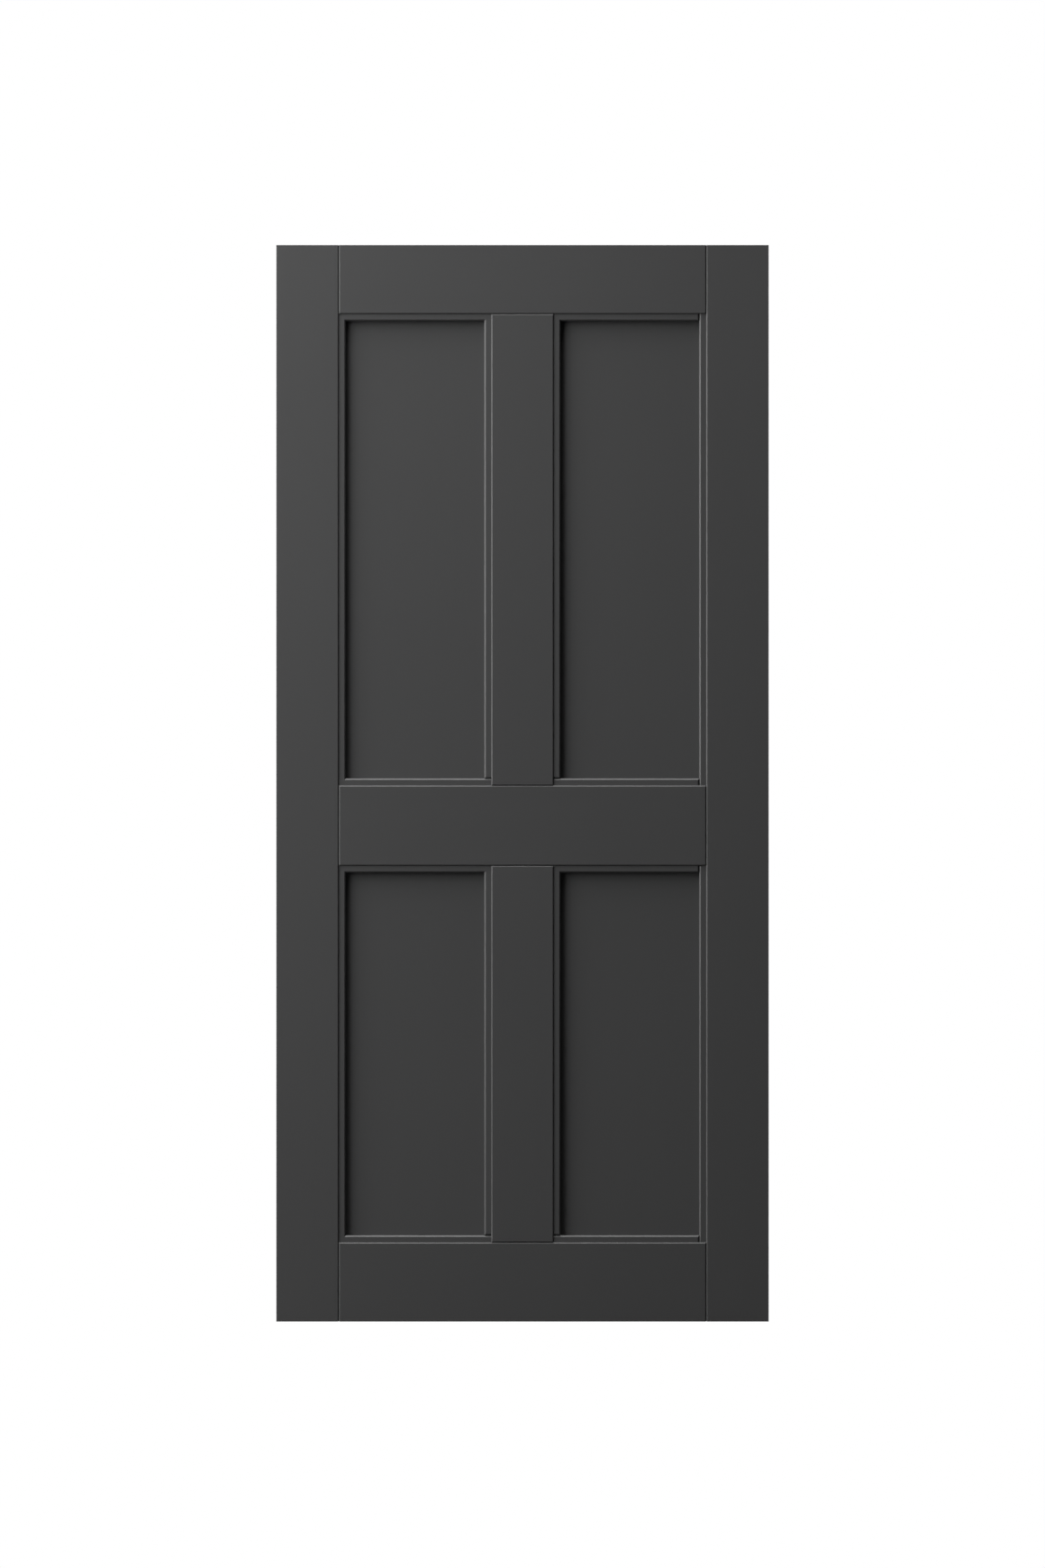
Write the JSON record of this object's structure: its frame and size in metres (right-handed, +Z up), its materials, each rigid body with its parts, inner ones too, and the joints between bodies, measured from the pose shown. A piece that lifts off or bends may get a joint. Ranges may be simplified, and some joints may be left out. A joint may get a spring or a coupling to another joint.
{
  "type": "panelled front door leaf",
  "caption": "Panelled timber door leaf: stiles, rails and muntins around flat recessed panels with stepped beads on both faces, painted matt charcoal.",
  "frame": {"origin": "middle of the leaf's foot, at mid width and mid thickness", "axes": "+X across the leaf to the right seen from the front, +Z up, the front face looks towards -Y"},
  "size_m": [0.915, 0.044, 2],
  "materials": {
    "painted_frame": "matte",
    "painted_panel": "matte",
    "painted_bead": "matte",
    "beech_dowel": "matte",
    "steel_pin": "satin"
  },
  "bodies": {
    "root": {"left_stile": "painted_frame", "right_stile": "painted_frame", "top_rail": "painted_frame", "lock_rail": "painted_frame", "bottom_rail": "painted_frame", "upper_muntin": "painted_frame", "lower_muntin": "painted_frame", "top_rail_dowels": "beech_dowel", "lock_rail_dowels": "beech_dowel", "bottom_rail_dowels": "beech_dowel", "upper_muntin_dowels": "beech_dowel", "lower_muntin_dowels": "beech_dowel", "upper_left_panel": "painted_panel", "upper_right_panel": "painted_panel", "lower_left_panel": "painted_panel", "lower_right_panel": "painted_panel", "upper_left_front_bottom_bead": "painted_bead", "upper_left_front_right_bead": "painted_bead", "upper_left_front_top_bead": "painted_bead", "upper_left_front_left_bead": "painted_bead", "upper_left_back_bottom_bead": "painted_bead", "upper_left_back_right_bead": "painted_bead", "upper_left_back_top_bead": "painted_bead", "upper_left_back_left_bead": "painted_bead", "upper_right_front_bottom_bead": "painted_bead", "upper_right_front_right_bead": "painted_bead", "upper_right_front_top_bead": "painted_bead", "upper_right_front_left_bead": "painted_bead", "upper_right_back_bottom_bead": "painted_bead", "upper_right_back_right_bead": "painted_bead", "upper_right_back_top_bead": "painted_bead", "upper_right_back_left_bead": "painted_bead", "lower_left_front_bottom_bead": "painted_bead", "lower_left_front_right_bead": "painted_bead", "lower_left_front_top_bead": "painted_bead", "lower_left_front_left_bead": "painted_bead", "lower_left_back_bottom_bead": "painted_bead", "lower_left_back_right_bead": "painted_bead", "lower_left_back_top_bead": "painted_bead", "lower_left_back_left_bead": "painted_bead", "lower_right_front_bottom_bead": "painted_bead", "lower_right_front_right_bead": "painted_bead", "lower_right_front_top_bead": "painted_bead", "lower_right_front_left_bead": "painted_bead", "lower_right_back_bottom_bead": "painted_bead", "lower_right_back_right_bead": "painted_bead", "lower_right_back_top_bead": "painted_bead", "lower_right_back_left_bead": "painted_bead", "upper_left_front_pins": "steel_pin", "upper_left_back_pins": "steel_pin", "upper_right_front_pins": "steel_pin", "upper_right_back_pins": "steel_pin", "lower_left_front_pins": "steel_pin", "lower_left_back_pins": "steel_pin", "lower_right_front_pins": "steel_pin", "lower_right_back_pins": "steel_pin"}
  },
  "joints": []
}
